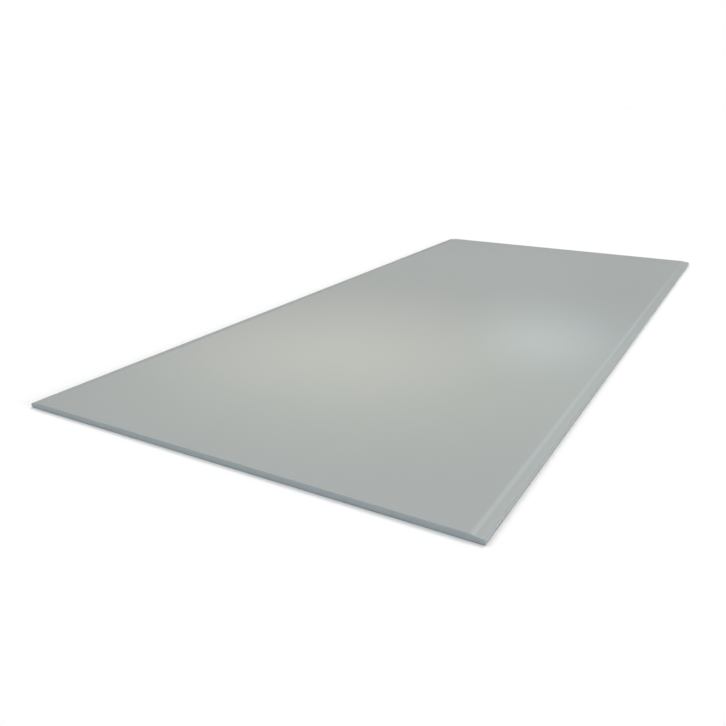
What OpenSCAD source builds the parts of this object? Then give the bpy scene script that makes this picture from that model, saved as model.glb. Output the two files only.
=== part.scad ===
// Drywall sheet: a paper-faced gypsum board lying face up, with tapered, half-round long edges and sawn ends.
// It is one piece. Its section is drawn across the width and runs the whole length.
// X is the width, Y the length and Z the thickness, from the middle of the back.

/* [Sheet] */
// Width across the two long edges
sheet_w = 1200; // [600:10:1250]
// Length between the two sawn ends
sheet_l = 2600; // [1200:50:3600]
// Thickness from the back to the face, away from the tapers
sheet_t = 15; // [9.5:0.5:18]

/* [Tapered long edges] */
// Width of the taper on the face, in from each long edge
taper_w = 32; // [30:1:60]
// Width of the shoulder, where the face rolls down into the taper
shoulder_w = 13; // [9:0.5:15]
// Drop of the face across the shoulder
shoulder_d = 2.2; // [1.6:0.1:2.4]
// Further fall of the land, from the shoulder to the long edge
land_d = 1.2; // [0.2:0.1:1.4]

/* [Hidden] */
$fn = 180;

// Colour of the grey face paper
paper_grey = [0.67, 0.69, 0.68];
// How far cutting shapes run past what they cut
overrun = 1;
// Every arc is drawn this much large, so that it crosses what it runs into and doesn't only touch it
bite = 0.002;

// Stations of the taper, measured from the long edge and the back: its start, its foot and the line of the edge
start_x = -taper_w;
foot_x = start_x + shoulder_w;
foot_z = sheet_t - shoulder_d;
edge_z = foot_z - land_d;

// The land falls at this angle towards the edge
land_angle = atan2(land_d, taper_w - shoulder_w);

// The shoulder is an S of two equal arcs: the crown leaves the face level, the hollow runs out along the land.
// turn is the slope where they meet, and roll_r their radius, from the shoulder's width and drop.
shoulder_span = norm([shoulder_w, shoulder_d]);
level_reach = shoulder_w * (1 + cos(land_angle)) + shoulder_d * sin(land_angle);
turn = atan2(shoulder_d, shoulder_w) + acos(level_reach / (2 * shoulder_span));
roll_r = shoulder_w / (2 * sin(turn) - sin(land_angle));
roll = roll_r * [sin(turn), cos(turn)];

// The paper is wrapped round the long edge in one half-round nose, which runs out into the land and the back
nose_r = edge_z * cos(land_angle) / (1 + cos(land_angle) - sin(land_angle));

// Where the arcs have their centres, and where the crown meets the hollow
crown_centre = [start_x, sheet_t - roll_r];
meeting = crown_centre + roll;
hollow_centre = meeting + roll;
nose_centre = [-nose_r, nose_r];

// What the taper takes from the face: above the crown, the hollow and the land
module taper() {
    clear_z = sheet_t + overrun;
    past_edge_z = edge_z - overrun * tan(land_angle);
    difference() {
        polygon([
            [start_x, clear_z],
            [start_x, foot_z],
            meeting,
            [foot_x, foot_z],
            [overrun, past_edge_z],
            [overrun, clear_z]
        ]);
        translate(crown_centre)
            circle(roll_r + bite);
    }
    translate(hollow_centre)
        circle(roll_r + bite);
}

// What lies outside the nose, between two directions from its centre in degrees
module outside_nose(from_angle, to_angle) {
    reach = nose_r + overrun;
    middle = (from_angle + to_angle) / 2;
    corner_reach = reach / cos(middle - from_angle);
    translate(nose_centre)
        difference() {
            polygon([
                [0, 0],
                reach * [cos(from_angle), sin(from_angle)],
                corner_reach * [cos(middle), sin(middle)],
                reach * [cos(to_angle), sin(to_angle)]
            ]);
            circle(nose_r + bite);
        }
}

// What is taken from a long edge of the flat sheet: the taper, and the two corners outside the nose
module edge_relief() {
    taper();
    outside_nose(0, 90 - land_angle);
    outside_nose(-90, 0);
}

module sheet_section() {
    difference() {
        translate([-sheet_w / 2, 0])
            square([sheet_w, sheet_t]);
        for (side = [0, 1])
            mirror([side, 0])
                translate([sheet_w / 2, 0])
                    edge_relief();
    }
}

module drywall_sheet() {
    color(paper_grey)
        rotate([90, 0, 0])
            linear_extrude(height = sheet_l, center = true)
                sheet_section();
}

drywall_sheet();
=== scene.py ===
"""Looks of a drywall sheet lying face up: its papers, its sawn ends, the floor, the light and the camera."""

import math

import bmesh
import bpy
from mathutils import Matrix, Vector


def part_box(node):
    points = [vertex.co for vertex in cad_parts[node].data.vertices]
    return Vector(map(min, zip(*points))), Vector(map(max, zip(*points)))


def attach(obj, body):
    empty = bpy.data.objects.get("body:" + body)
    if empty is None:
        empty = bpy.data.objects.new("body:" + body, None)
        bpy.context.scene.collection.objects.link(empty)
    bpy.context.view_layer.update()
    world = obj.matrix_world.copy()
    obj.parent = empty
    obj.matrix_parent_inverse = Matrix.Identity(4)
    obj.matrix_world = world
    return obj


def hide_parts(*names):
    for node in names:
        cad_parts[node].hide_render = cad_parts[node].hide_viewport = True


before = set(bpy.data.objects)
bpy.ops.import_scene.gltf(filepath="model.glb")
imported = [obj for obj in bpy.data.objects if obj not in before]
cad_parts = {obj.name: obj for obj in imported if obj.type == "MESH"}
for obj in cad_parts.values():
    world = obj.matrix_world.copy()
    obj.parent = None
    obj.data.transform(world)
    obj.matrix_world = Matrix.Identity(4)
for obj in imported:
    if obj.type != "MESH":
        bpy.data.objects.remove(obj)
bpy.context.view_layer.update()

MM = 0.001
low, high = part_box("drywall_sheet")
width, length, thickness = high - low
half_width = width / 2
half_length = length / 2

# The taper along the long edges, as the part has it
TAPER_WIDTH = 32 * MM
SHOULDER_WIDTH = 13 * MM
SHOULDER_DROP = 2.2 * MM
LAND_FALL = 1.2 * MM

# The face paper is folded round the long edges and glued down on the back, where the back paper laps over it
PAPER_THICKNESS = 0.4 * MM
LAP_WIDTH = 22 * MM
# How far the saw leaves the crumbly core behind the edges of the paper
CORE_SET_BACK = 0.25 * MM
# The cut edges of the paper are a little crushed
ARRIS_RADIUS = 0.15 * MM

# Scuffs on the folds begin and are full this far in from the long edge, in shares of the nose's radius
SCUFFS_BEGIN_SHARE = 0.6
SCUFFS_FULL_SHARE = 0.3
# What full scuffs add to the roughness of the paper
SCUFFS_ROUGHNESS = 0.35

ROLL_SEGMENTS = 10
FOLD_SEGMENTS = 12
ARRIS_SEGMENTS = 2
# Arcs stop a little short of their full reach, so that two that meet don't run into each other
ARC_SHARE = 0.98
# A face looks along an axis if this much of its normal lies on that axis
FACING = 0.9
# Edges that turn more than this are creases, and the rest are shaded as round
CREASE_ANGLE = math.radians(40)
# Lengths below this count as nothing
TINY = 0.01 * MM
# The order of the board's materials
FACE_PAPER, BACK_PAPER, SAWN_CORE = range(3)

# The shoulder is an S of two equal arcs. Its knees are where the lines that the arcs round off would meet
land_angle = math.atan2(LAND_FALL, TAPER_WIDTH - SHOULDER_WIDTH)
shoulder_span = math.hypot(SHOULDER_WIDTH, SHOULDER_DROP)
level_reach = SHOULDER_WIDTH * (1 + math.cos(land_angle)) + SHOULDER_DROP * math.sin(land_angle)
turn = math.atan2(SHOULDER_DROP, SHOULDER_WIDTH) + math.acos(level_reach / (2 * shoulder_span))
roll_radius = SHOULDER_WIDTH / (2 * math.sin(turn) - math.sin(land_angle))
crown_reach = roll_radius * math.tan(turn / 2)
hollow_reach = roll_radius * math.tan((turn - land_angle) / 2)
crown_knee = half_width - TAPER_WIDTH + crown_reach
foot = half_width - TAPER_WIDTH + SHOULDER_WIDTH
hollow_knee = foot - hollow_reach * math.cos(land_angle)
hollow_drop = SHOULDER_DROP - hollow_reach * math.sin(land_angle)
edge_drop = SHOULDER_DROP + LAND_FALL
edge_height = thickness - edge_drop
# The long edge is half round: one arc from the land to the back
nose_radius = edge_height * math.cos(land_angle) / (1 + math.cos(land_angle) - math.sin(land_angle))
lap_line = half_width - LAP_WIDTH

# The camera, found by fitting the sheet's outline in the photograph. Its lens and sensor are in millimetres
EYE = Vector((0.9516, -2.3307, 0.7244))
HEADING = math.radians(30)
DIP = math.radians(20)
LENS = 36
SENSOR = 36

# The floor's width in metres, and how far it lies below the back of the board
FLOOR_SIZE = 120
FLOOR_GAP = 0.1 * MM
# How bright the surroundings are where they have no lamp. White is 1
SURROUNDINGS_GLOW = 0.17
# Depth of a lamp's glow, on a sphere of radius 1: so deep that only its width and height shape it
LAMP_DEPTH = 3


def linear(hex_colour):
    """An sRGB hex colour as linear red, green, blue and alpha."""
    channels = [int(hex_colour[i:i + 2], 16) / 255 for i in (1, 3, 5)]
    return [c / 12.92 if c <= 0.04045 else ((c + 0.055) / 1.055) ** 2.4 for c in channels] + [1]


def add(tree, kind, sockets, **settings):
    """Adds a node. A socket given another node's output is linked to it, and others get the value."""
    node = tree.nodes.new(kind)
    for name, value in settings.items():
        setattr(node, name, value)
    for name, value in sockets.items():
        if isinstance(value, bpy.types.NodeSocket):
            tree.links.new(value, node.inputs[name])
        else:
            node.inputs[name].default_value = value
    return node


def new_material(name):
    """An empty node material and its tree."""
    material = bpy.data.materials.new(name)
    material.use_nodes = True
    material.node_tree.nodes.clear()
    return material, material.node_tree


def calendered_face_paper():
    """Grey recycled paper, pressed smooth between rollers. It has a soft sheen, and its fibres show faintly
    as clouds and as short streaks along the board, the way that the paper ran through its machine.
    The rollers left broad bands, fainter still."""
    cloud = 9 * MM
    # Real fibres are about 0.03 mm wide. They are drawn as bundles, coarse enough to show
    fibre_width = 1.6 * MM
    fibre_length = 11 * MM
    band_width = 70 * MM
    band_length = 2400 * MM
    material, tree = new_material("calendered_grey_face_paper")
    place = add(tree, "ShaderNodeTexCoord", {}).outputs["Object"]
    clouds = add(tree, "ShaderNodeTexNoise", {"Vector": place, "Scale": 1 / cloud, "Detail": 3})
    along = add(tree, "ShaderNodeMapping", {
        "Vector": place, "Scale": (1 / fibre_width, 1 / fibre_length, 1 / fibre_width)})
    fibres = add(tree, "ShaderNodeTexNoise", {"Vector": along.outputs[0], "Scale": 1, "Detail": 2})
    rolled = add(tree, "ShaderNodeMapping", {
        "Vector": place, "Scale": (1 / band_width, 1 / band_length, 1 / band_width)})
    bands = add(tree, "ShaderNodeTexNoise", {"Vector": rolled.outputs[0], "Scale": 1, "Detail": 2})
    tone = add(tree, "ShaderNodeMath", {0: clouds.outputs[0], 1: fibres.outputs[0]}, operation="ADD")
    tone = add(tree, "ShaderNodeMath", {0: tone.outputs[0], 1: bands.outputs[0]}, operation="ADD")
    colour = add(tree, "ShaderNodeValToRGB", {0: add(tree, "ShaderNodeMapRange", {
        "Value": tone.outputs[0], "From Min": 0.9, "From Max": 2.1}).outputs[0]})
    colour.color_ramp.elements[0].color = linear("#abb0af")
    colour.color_ramp.elements[1].color = linear("#adb2b1")
    gloss = add(tree, "ShaderNodeMapRange", {
        "Value": clouds.outputs[0], "From Min": 0.3, "From Max": 0.7, "To Min": 0.145, "To Max": 0.155})
    # Where it is folded round the long edges, the paper is scuffed dull
    across = add(tree, "ShaderNodeSeparateXYZ", {"Vector": place})
    outwards = add(tree, "ShaderNodeMath", {0: across.outputs["X"]}, operation="ABSOLUTE")
    scuffs = add(tree, "ShaderNodeMapRange", {
        "Value": outwards.outputs[0], "From Min": half_width - SCUFFS_BEGIN_SHARE * nose_radius,
        "From Max": half_width - SCUFFS_FULL_SHARE * nose_radius, "To Max": SCUFFS_ROUGHNESS})
    dullness = add(tree, "ShaderNodeMath", {0: gloss.outputs[0], 1: scuffs.outputs[0]}, operation="ADD")
    bump = add(tree, "ShaderNodeBump", {"Height": fibres.outputs[0], "Strength": 0.3, "Distance": 0.01 * MM})
    paper = add(tree, "ShaderNodeBsdfPrincipled", {
        "Base Color": colour.outputs[0], "Roughness": dullness.outputs[0], "Normal": bump.outputs[0],
        "IOR": 1.5})
    add(tree, "ShaderNodeOutputMaterial", {"Surface": paper.outputs[0]})
    return material


def recycled_back_paper():
    """Plain recycled paper that was not pressed smooth: flecked, duller and a bit warmer than the face."""
    cloud = 12 * MM
    fleck = 2 * MM
    material, tree = new_material("recycled_back_paper")
    place = add(tree, "ShaderNodeTexCoord", {}).outputs["Object"]
    clouds = add(tree, "ShaderNodeTexNoise", {"Vector": place, "Scale": 1 / cloud, "Detail": 4})
    flecks = add(tree, "ShaderNodeTexNoise", {"Vector": place, "Scale": 1 / fleck, "Detail": 2})
    tone = add(tree, "ShaderNodeMath", {0: clouds.outputs[0], 1: flecks.outputs[0]}, operation="ADD")
    colour = add(tree, "ShaderNodeValToRGB", {0: add(tree, "ShaderNodeMapRange", {
        "Value": tone.outputs[0], "From Min": 0.6, "From Max": 1.4}).outputs[0]})
    colour.color_ramp.elements[0].color = linear("#8f8c84")
    colour.color_ramp.elements[1].color = linear("#a6a399")
    bump = add(tree, "ShaderNodeBump", {"Height": tone.outputs[0], "Strength": 0.5, "Distance": 0.03 * MM})
    paper = add(tree, "ShaderNodeBsdfPrincipled", {
        "Base Color": colour.outputs[0], "Roughness": 0.7, "Normal": bump.outputs[0], "IOR": 1.5})
    add(tree, "ShaderNodeOutputMaterial", {"Surface": paper.outputs[0]})
    return material


def sawn_gypsum():
    """Foamed gypsum, cut by a saw: dull blue-grey, chalky, full of small pores and scored up and down. Its
    pits and grooves are painted darker, as painted shade.
    """
    # Real pores are mostly under 1 mm wide. They are drawn coarser, so that they show
    pore = 1.8 * MM
    score_width = 2.5 * MM
    score_length = 40 * MM
    material, tree = new_material("sawn_gypsum_core")
    place = add(tree, "ShaderNodeTexCoord", {}).outputs["Object"]
    pores = add(tree, "ShaderNodeTexVoronoi", {"Vector": place, "Scale": 1 / pore, "Randomness": 1})
    pit_depth_and_painted_shade = add(tree, "ShaderNodeMapRange", {
        "Value": pores.outputs["Distance"], "From Min": 0.1, "From Max": 0.45})
    scored = add(tree, "ShaderNodeMapping", {
        "Vector": place, "Scale": (1 / score_width, 1 / score_width, 1 / score_length)})
    scores = add(tree, "ShaderNodeTexNoise", {"Vector": scored.outputs[0], "Scale": 1, "Detail": 3})
    # One tone makes both the bump and the colour, so the pits of the pores and the grooves of the scores are
    # painted darker: painted shade in the recesses
    tone = add(tree, "ShaderNodeMath", {0: pit_depth_and_painted_shade.outputs[0], 1: scores.outputs[0]}, operation="ADD")
    colour = add(tree, "ShaderNodeValToRGB", {0: add(tree, "ShaderNodeMapRange", {
        "Value": tone.outputs[0], "From Min": 0.5, "From Max": 1.7}).outputs[0]})
    colour.color_ramp.elements[0].color = linear("#b3bfc4")
    colour.color_ramp.elements[1].color = linear("#bdc9ce")
    bump = add(tree, "ShaderNodeBump", {"Height": tone.outputs[0], "Strength": 0.6, "Distance": 0.15 * MM})
    core = add(tree, "ShaderNodeBsdfPrincipled", {
        "Base Color": colour.outputs[0], "Roughness": 0.9, "Normal": bump.outputs[0], "IOR": 1.5,
        "Specular IOR Level": 0.2})
    add(tree, "ShaderNodeOutputMaterial", {"Surface": core.outputs[0]})
    return material


def matt_white_floor():
    """Matt white floor paint. Its white varies by a hair from place to place."""
    patch = 500 * MM
    material, tree = new_material("matt_white_floor")
    place = add(tree, "ShaderNodeTexCoord", {}).outputs["Object"]
    patches = add(tree, "ShaderNodeTexNoise", {"Vector": place, "Scale": 1 / patch})
    colour = add(tree, "ShaderNodeValToRGB", {0: patches.outputs[0]})
    colour.color_ramp.elements[0].color = linear("#fbfbfb")
    colour.color_ramp.elements[1].color = linear("#fcfcfc")
    paint = add(tree, "ShaderNodeBsdfPrincipled", {
        "Base Color": colour.outputs[0], "Roughness": 1, "Specular IOR Level": 0})
    add(tree, "ShaderNodeOutputMaterial", {"Surface": paint.outputs[0]})
    return material


def once(items):
    """The items in the order they come, each only once."""
    return list(dict.fromkeys(items))


def cut_along(bm, x, side):
    """Cuts the face (side 1) or the back (side -1) along the board's length, at x and -x."""
    for place in (x, -x):
        bm.normal_update()
        faces = [f for f in bm.faces if f.normal.z * side > FACING]
        edges = once(e for f in faces for e in f.edges)
        verts = once(v for f in faces for v in f.verts)
        bmesh.ops.bisect_plane(
            bm, geom=verts + edges + faces, dist=TINY, plane_co=(place, 0, 0), plane_no=(1, 0, 0))


def lengthwise_edges(bm, x, z):
    """The edges that run along the board at x and -x, at height z."""
    return [
        e for e in bm.edges
        if all(abs(abs(v.co.x) - x) < TINY and abs(v.co.z - z) < TINY for v in e.verts)
        and abs(e.verts[0].co.x - e.verts[1].co.x) < TINY
    ]


def round_off(bm, edges, offset, segments):
    """Rounds edges with an arc that starts this far from them."""
    bmesh.ops.bevel(
        bm, geom=edges, offset=offset, offset_type="OFFSET", segments=segments, profile=0.5,
        affect="EDGES", clamp_overlap=True, material=-1,
    )


def end_faces(bm):
    """The faces that lie in the planes of the two saw cuts."""
    return [
        f for f in bm.faces
        if abs(f.normal.y) > FACING and abs(f.calc_center_median().y) > half_length - TINY
    ]


def shape_board(bm):
    """Shapes the board: the tapers, the folds, the lap of the back paper and the sawn ends."""
    back = low.z + PAPER_THICKNESS
    top = high.z
    middle = Vector((0, 0, (back + top) / 2))
    size = Matrix.Diagonal((width, length, top - back, 1))
    bmesh.ops.create_cube(bm, size=1, matrix=Matrix.Translation(middle) @ size)
    cut_along(bm, crown_knee, 1)
    cut_along(bm, hollow_knee, 1)
    cut_along(bm, lap_line, -1)

    # The taper: the hollow and the long edges of the face go down
    for x, drop in ((hollow_knee, hollow_drop), (half_width, edge_drop)):
        lowered = [v for v in bm.verts if abs(abs(v.co.x) - x) < TINY and abs(v.co.z - top) < TINY]
        bmesh.ops.translate(bm, verts=lowered, vec=(0, 0, -drop))
    # The knees are rounded
    round_off(bm, lengthwise_edges(bm, crown_knee, top), ARC_SHARE * crown_reach, ROLL_SEGMENTS)
    hollow_edges = lengthwise_edges(bm, hollow_knee, top - hollow_drop)
    round_off(bm, hollow_edges, ARC_SHARE * hollow_reach, ROLL_SEGMENTS)
    # The folds are rounded into the half-round nose, first above and then below
    lower_reach = ARC_SHARE * nose_radius
    upper_reach = lower_reach * math.tan((math.pi / 2 - land_angle) / 2)
    round_off(bm, lengthwise_edges(bm, half_width, top - edge_drop), upper_reach, FOLD_SEGMENTS)
    round_off(bm, lengthwise_edges(bm, half_width, back), lower_reach - PAPER_THICKNESS, FOLD_SEGMENTS)

    # The back paper stands its own thickness out from the lap of the face paper
    bm.normal_update()
    covered = [
        f for f in bm.faces
        if f.normal.z < -FACING and max(abs(v.co.x) for v in f.verts) < lap_line + TINY
    ]
    paper = bmesh.ops.extrude_face_region(bm, geom=covered)["geom"]
    bmesh.ops.delete(bm, geom=covered, context="FACES_ONLY")
    outer = [v for v in paper if isinstance(v, bmesh.types.BMVert)]
    bmesh.ops.translate(bm, verts=outer, vec=(0, 0, low.z - back))

    # The sawn ends: a crushed arris all round, the cut edges of the paper, and the core a little behind them
    bm.normal_update()
    rim = once(e for f in end_faces(bm) for e in f.edges if e.calc_face_angle(0) > CREASE_ANGLE)
    round_off(bm, rim, ARRIS_RADIUS, ARRIS_SEGMENTS)
    bm.normal_update()
    cores = end_faces(bm)
    bmesh.ops.inset_region(bm, faces=cores, thickness=PAPER_THICKNESS - ARRIS_RADIUS, use_even_offset=True)
    for side in (-1, 1):
        inner = once(v for f in cores for v in f.verts if v.co.y * side > 0)
        bmesh.ops.translate(bm, verts=inner, vec=(0, -side * CORE_SET_BACK, 0))
    # Rounding pushes four corners of the lap out by a hair. They go back to the plane of the saw cut
    for vert in bm.verts:
        vert.co.y = min(max(vert.co.y, low.y), high.y)
    return cores


def paper_faced_board():
    """The whole board as one piece: face paper round it, back paper under it and gypsum at its ends."""
    mesh = bpy.data.meshes.new("paper_faced_board")
    for material in (calendered_face_paper(), recycled_back_paper(), sawn_gypsum()):
        mesh.materials.append(material)
    bm = bmesh.new()
    cores = shape_board(bm)
    bm.normal_update()
    for face in bm.faces:
        face.smooth = True
        under = face.calc_center_median().z < low.z + TINY
        face.material_index = BACK_PAPER if under else FACE_PAPER
    for face in cores:
        face.material_index = SAWN_CORE
    bm.to_mesh(mesh)
    bm.free()
    mesh.set_sharp_from_angle(angle=CREASE_ANGLE)
    board = bpy.data.objects.new("paper_faced_board", mesh)
    bpy.context.scene.collection.objects.link(board)
    # Flat faces keep flat shading right up to the arcs beside them
    shading = board.modifiers.new("even_shading", "WEIGHTED_NORMAL")
    shading.keep_sharp = True
    return board


def studio_floor():
    """A floor so wide that its far edge is lost in the white behind it."""
    mesh = bpy.data.meshes.new("studio_floor")
    bm = bmesh.new()
    place = Matrix.Translation((0, 0, low.z - FLOOR_GAP))
    bmesh.ops.create_grid(bm, x_segments=1, y_segments=1, size=FLOOR_SIZE / 2, matrix=place)
    bm.to_mesh(mesh)
    bm.free()
    mesh.materials.append(matt_white_floor())
    floor = bpy.data.objects.new("studio_floor", mesh)
    bpy.context.scene.collection.objects.link(floor)
    return floor


def towards(azimuth, elevation):
    """The direction of a light: azimuth 0 is beyond the far end, 90 to the right, in degrees."""
    a = math.radians(azimuth)
    e = math.radians(elevation)
    return Vector((math.sin(a) * math.cos(e), math.cos(a) * math.cos(e), math.sin(e)))


def far_light(name, azimuth, elevation, spread, share):
    """Far, broad white light, with angles in degrees. share is how bright it alone makes a white floor."""
    data = bpy.data.lights.new(name, "SUN")
    data.angle = math.radians(spread)
    data.energy = math.pi * share / math.sin(math.radians(elevation))
    light = bpy.data.objects.new(name, data)
    light.rotation_mode = "QUATERNION"
    light.rotation_quaternion = towards(azimuth, elevation).to_track_quat("Z", "Y")
    light.visible_camera = False
    bpy.context.scene.collection.objects.link(light)


def studio_light():
    """Broad light from behind, from the left and, low and weaker, from the right."""
    far_light("from_behind", azimuth=0, elevation=55, spread=26, share=0.37)
    far_light("from_left", azimuth=-90, elevation=47, spread=40, share=0.37)
    far_light("from_right", azimuth=90, elevation=13, spread=12, share=0.1)


def soft_lamp(tree, azimuth, elevation, across, tall, glow, colour):
    """A lamp far behind the sheet, brightest in its middle and soft to its rim. Its reflection is a sheen.
    across and tall are half its width and height, in degrees as its place is, and glow is its brightness."""
    direction = towards(azimuth, elevation)
    facing = direction.to_track_quat("Y", "Z").to_euler()
    sky = add(tree, "ShaderNodeTexCoord", {}).outputs["Generated"]
    offset = add(tree, "ShaderNodeMapping", {
        "Vector": sky, "Location": direction, "Rotation": facing,
        "Scale": (math.radians(across), LAMP_DEPTH, math.radians(tall))}, vector_type="TEXTURE")
    cone = add(tree, "ShaderNodeTexGradient", {"Vector": offset.outputs[0]}, gradient_type="SPHERICAL")
    strength = add(tree, "ShaderNodeMapRange", {
        "Value": cone.outputs[1], "To Max": glow}, interpolation_type="SMOOTHSTEP")
    lamp = add(tree, "ShaderNodeBackground", {"Color": linear(colour), "Strength": strength.outputs[0]})
    return lamp.outputs[0]


def white_surroundings():
    """White behind the floor. What the sheet reflects is a dim even glow from all round, and soft lamps."""
    world = bpy.data.worlds.new("white_surroundings")
    world.use_nodes = True
    tree = world.node_tree
    tree.nodes.clear()
    white = linear("#ffffff")
    glow = add(tree, "ShaderNodeBackground", {"Color": white, "Strength": SURROUNDINGS_GLOW}).outputs[0]
    for lamp in (
        # Warm sheen on the near half of the face
        soft_lamp(tree, azimuth=-32, elevation=19.2, across=25, tall=5.6, glow=0.95, colour="#fff3d8"),
        # Weaker, yellower sheen nearer to the camera
        soft_lamp(tree, azimuth=-28, elevation=23.5, across=29, tall=6, glow=0.4, colour="#fcffc2"),
        # Small cool spot towards the right edge
        soft_lamp(tree, azimuth=-15, elevation=17.7, across=8, tall=1.2, glow=2.25, colour="#dcf8ff"),
        # Faint sheen towards the far end
        soft_lamp(tree, azimuth=-19, elevation=11.2, across=42, tall=3.4, glow=0.29, colour="#fcfff7"),
        # Cool light along the right taper
        soft_lamp(tree, azimuth=2.5, elevation=30, across=19, tall=24.5, glow=0.87, colour="#ebfeff"),
    ):
        glow = add(tree, "ShaderNodeAddShader", {0: glow, 1: lamp}).outputs[0]
    behind = add(tree, "ShaderNodeBackground", {"Color": white, "Strength": 1})
    path = add(tree, "ShaderNodeLightPath", {})
    both = add(tree, "ShaderNodeMixShader", {
        0: path.outputs["Is Camera Ray"], 1: glow, 2: behind.outputs[0]})
    add(tree, "ShaderNodeOutputWorld", {"Surface": both.outputs[0]})
    bpy.context.scene.world = world


def photo_camera():
    """The camera at the photograph's place and angle."""
    data = bpy.data.cameras.new("photo_camera")
    data.lens = LENS
    data.sensor_width = SENSOR
    camera = bpy.data.objects.new("photo_camera", data)
    camera.location = EYE
    camera.rotation_euler = (math.pi / 2 - DIP, 0, HEADING)
    bpy.context.scene.collection.objects.link(camera)
    bpy.context.scene.camera = camera


board = paper_faced_board()
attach(board, "root")
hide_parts("drywall_sheet")
studio_floor()
white_surroundings()
studio_light()
photo_camera()
bpy.context.scene.view_settings.view_transform = "Standard"
